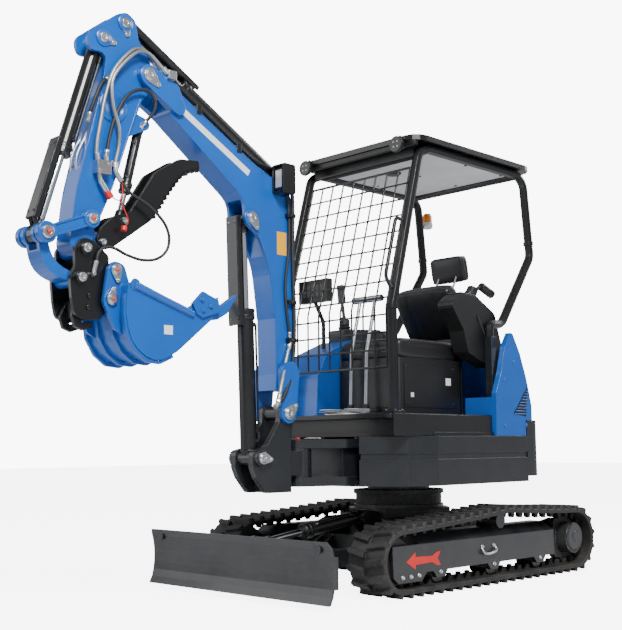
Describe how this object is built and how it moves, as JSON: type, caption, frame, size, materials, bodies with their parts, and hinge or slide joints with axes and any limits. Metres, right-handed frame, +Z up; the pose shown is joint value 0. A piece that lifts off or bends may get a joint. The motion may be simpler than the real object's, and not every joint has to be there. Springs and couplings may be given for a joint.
{
  "type": "mini excavator",
  "caption": "Compact tracked excavator with open operator canopy, offset boom, arm, quick coupler, bucket, hydraulic thumb and front dozer blade.",
  "frame": {"origin": "on the ground, at the centre of the machine's length and width", "axes": "+Z up, -Y towards the blade and bucket, +X towards the operator's left, metres"},
  "size_m": [1.274, 3.3166, 2.6498],
  "materials": {
    "blue_paint": "satin",
    "grey_paint": "satin",
    "black_paint": "satin",
    "bright_steel": "polished",
    "cast_steel": "matte",
    "track_rubber": "matte",
    "black_plastic": "matte",
    "seat_vinyl": "matte",
    "pale_liner": "matte",
    "amber_lens": "gloss"
  },
  "bodies": {
    "arm": {"arm": "blue_paint"},
    "arm_cylinder_barrel": {"arm_cylinder_barrel": "black_paint"},
    "arm_cylinder_rod": {"arm_cylinder_rod": "bright_steel"},
    "house": {"beacon": "amber_lens", "canopy_frame": "black_paint", "counterweight": "grey_paint", "engine_block": "cast_steel", "engine_deck": "black_paint", "floor_plate": "black_paint", "front_guard": "black_paint", "grab_handle": "black_paint", "headliner": "pale_liner", "headrest": "seat_vinyl", "house_frame": "grey_paint", "monitor": "black_plastic", "pedals": "bright_steel", "rear_cover_left": "blue_paint", "rear_cover_right": "blue_paint", "right_console": "black_plastic", "roof": "black_paint", "seat_back": "seat_vinyl", "seat_base": "black_plastic", "seat_cushion": "seat_vinyl", "side_skirt_left": "grey_paint", "side_skirt_right": "grey_paint", "sun_visor": "black_plastic", "tank_cover": "blue_paint", "travel_levers": "bright_steel", "work_light_left": "black_plastic", "work_light_right": "black_plastic"},
    "blade": {"blade": "grey_paint"},
    "blade_cylinder_barrel": {"blade_cylinder_barrel": "black_paint"},
    "blade_cylinder_rod": {"blade_cylinder_rod": "bright_steel"},
    "boom": {"boom": "blue_paint", "boom_light": "blue_paint"},
    "boom_cylinder_barrel": {"boom_cylinder_barrel": "black_paint"},
    "boom_cylinder_rod": {"boom_cylinder_rod": "bright_steel"},
    "bucket": {"bucket": "blue_paint", "quick_coupler": "black_paint"},
    "bucket_cylinder_barrel": {"bucket_cylinder_barrel": "black_paint"},
    "bucket_cylinder_rod": {"bucket_cylinder_rod": "bright_steel"},
    "undercarriage": {"carbody": "grey_paint", "drive_sprocket_left": "grey_paint", "drive_sprocket_right": "grey_paint", "front_idler_left": "cast_steel", "front_idler_right": "cast_steel", "slew_ring": "cast_steel", "track_frame_left": "grey_paint", "track_frame_right": "grey_paint", "track_left": "track_rubber", "track_right": "track_rubber"},
    "curved_link": {"curved_link": "blue_paint"},
    "left_console": {"left_console": "black_plastic"},
    "rear_bonnet": {"rear_bonnet": "black_plastic"},
    "side_links": {"side_links": "blue_paint"},
    "swing_post": {"swing_post": "grey_paint"},
    "thumb": {"thumb": "black_paint"},
    "thumb_cylinder_barrel": {"thumb_cylinder_barrel": "black_paint"},
    "thumb_cylinder_rod": {"thumb_cylinder_rod": "bright_steel"}
  },
  "joints": [
    {"name": "house_slew", "type": "hinge", "parent": "undercarriage", "child": "house", "pos_m": [0, 0.66699, 0.47], "axis": [0, 0, 1], "continuous": true},
    {"name": "boom_swing", "type": "hinge", "parent": "house", "child": "swing_post", "pos_m": [0, -0.10301, 0.552], "axis": [0, 0, 1], "range_deg": [-50, 75]},
    {"name": "boom_lift", "type": "hinge", "parent": "swing_post", "child": "boom", "pos_m": [0, -0.25801, 0.868], "axis": [-1, 0, 0], "range_deg": [-65, 15]},
    {"name": "arm_swing", "type": "hinge", "parent": "boom", "child": "arm", "pos_m": [0, -1.10301, 2.379], "axis": [1, 0, 0], "range_deg": [-75, 4]},
    {"name": "bucket_curl", "type": "hinge", "parent": "arm", "child": "bucket", "pos_m": [0, -1.43101, 1.545], "axis": [1, 0, 0], "range_deg": [-120, 12]},
    {"name": "thumb_swing", "type": "hinge", "parent": "arm", "child": "thumb", "pos_m": [0, -1.31801, 1.59], "axis": [1, 0, 0], "range_deg": [-46, 0]},
    {"name": "blade_lift", "type": "hinge", "parent": "undercarriage", "child": "blade", "pos_m": [0, 0.25699, 0.165], "axis": [-1, 0, 0], "range_deg": [-14, 14]},
    {"name": "left_console_tilt", "type": "hinge", "parent": "house", "child": "left_console", "pos_m": [0.32, 1.06199, 1.165], "axis": [1, 0, 0], "range_deg": [0, 50]},
    {"name": "rear_bonnet_hinge", "type": "hinge", "parent": "house", "child": "rear_bonnet", "pos_m": [0, 1.02759, 1.304], "axis": [1, 0, 0], "range_deg": [0, 60]},
    {"name": "boom_cylinder_pivot", "type": "hinge", "parent": "swing_post", "child": "boom_cylinder_barrel", "pos_m": [0, -0.43301, 0.652], "axis": [1, 0, 0], "range_deg": [-13.79, 58.11]},
    {"name": "boom_cylinder_stroke", "type": "slide", "parent": "boom_cylinder_barrel", "child": "boom_cylinder_rod", "axis": [0, -0.0344, 0.9994], "range_m": [-0.2702, 0.0639]},
    {"name": "arm_cylinder_pivot", "type": "hinge", "parent": "boom", "child": "arm_cylinder_barrel", "pos_m": [0, -0.24301, 2.053], "axis": [1, 0, 0], "range_deg": [-9.14, 0.96]},
    {"name": "arm_cylinder_stroke", "type": "slide", "parent": "arm_cylinder_barrel", "child": "arm_cylinder_rod", "axis": [0, -0.8717, 0.49], "range_m": [-0.2718, 0.0164]},
    {"name": "bucket_cylinder_pivot", "type": "hinge", "parent": "arm", "child": "bucket_cylinder_barrel", "pos_m": [0, -1.33101, 2.503], "axis": [1, 0, 0], "range_deg": [-3.56, 0.81]},
    {"name": "bucket_cylinder_stroke", "type": "slide", "parent": "bucket_cylinder_barrel", "child": "bucket_cylinder_rod", "axis": [0, -0.2951, -0.9555], "range_m": [-0.2747, 0.0293]},
    {"name": "thumb_cylinder_pivot", "type": "hinge", "parent": "arm", "child": "thumb_cylinder_barrel", "pos_m": [0, -1.09801, 2.16], "axis": [1, 0, 0], "range_deg": [-0.5, 8.48]},
    {"name": "thumb_cylinder_stroke", "type": "slide", "parent": "thumb_cylinder_barrel", "child": "thumb_cylinder_rod", "axis": [0, -0.2326, -0.9726], "range_m": [-0.002, 0.1]},
    {"name": "blade_cylinder_pivot", "type": "hinge", "parent": "undercarriage", "child": "blade_cylinder_barrel", "pos_m": [0, 0.35199, 0.335], "axis": [1, 0, 0], "range_deg": [-12.24, 12.24]},
    {"name": "blade_cylinder_stroke", "type": "slide", "parent": "blade_cylinder_barrel", "child": "blade_cylinder_rod", "axis": [0, -0.9921, -0.1258], "range_m": [-0.0402, 0.0402]},
    {"name": "side_links_pivot", "type": "hinge", "parent": "arm", "child": "side_links", "pos_m": [0, -1.39801, 1.676], "axis": [1, 0, 0], "range_deg": [-73.33, 7.78]},
    {"name": "curved_link_pivot", "type": "hinge", "parent": "bucket", "child": "curved_link", "pos_m": [0, -1.45301, 1.418], "axis": [1, 0, 0], "range_deg": [-8.06, 76.1]}
  ],
  "couplings": [
    {"joint": "boom_cylinder_pivot", "follows": "boom_lift", "ratio": -0.8863},
    {"joint": "boom_cylinder_stroke", "follows": "boom_lift", "m_per_rad": 0.2364},
    {"joint": "arm_cylinder_pivot", "follows": "arm_swing", "ratio": 0.1152},
    {"joint": "arm_cylinder_stroke", "follows": "arm_swing", "m_per_rad": 0.2061},
    {"joint": "bucket_cylinder_pivot", "follows": "bucket_curl", "ratio": 0.0255},
    {"joint": "bucket_cylinder_stroke", "follows": "bucket_curl", "m_per_rad": 0.1302},
    {"joint": "thumb_cylinder_pivot", "follows": "thumb_swing", "ratio": -0.1735},
    {"joint": "thumb_cylinder_stroke", "follows": "thumb_swing", "m_per_rad": -0.1221},
    {"joint": "blade_cylinder_pivot", "follows": "blade_lift", "ratio": -0.8389},
    {"joint": "blade_cylinder_stroke", "follows": "blade_lift", "m_per_rad": -0.1562},
    {"joint": "side_links_pivot", "follows": "bucket_curl", "ratio": 0.6069},
    {"joint": "curved_link_pivot", "follows": "bucket_curl", "ratio": -0.63}
  ]
}
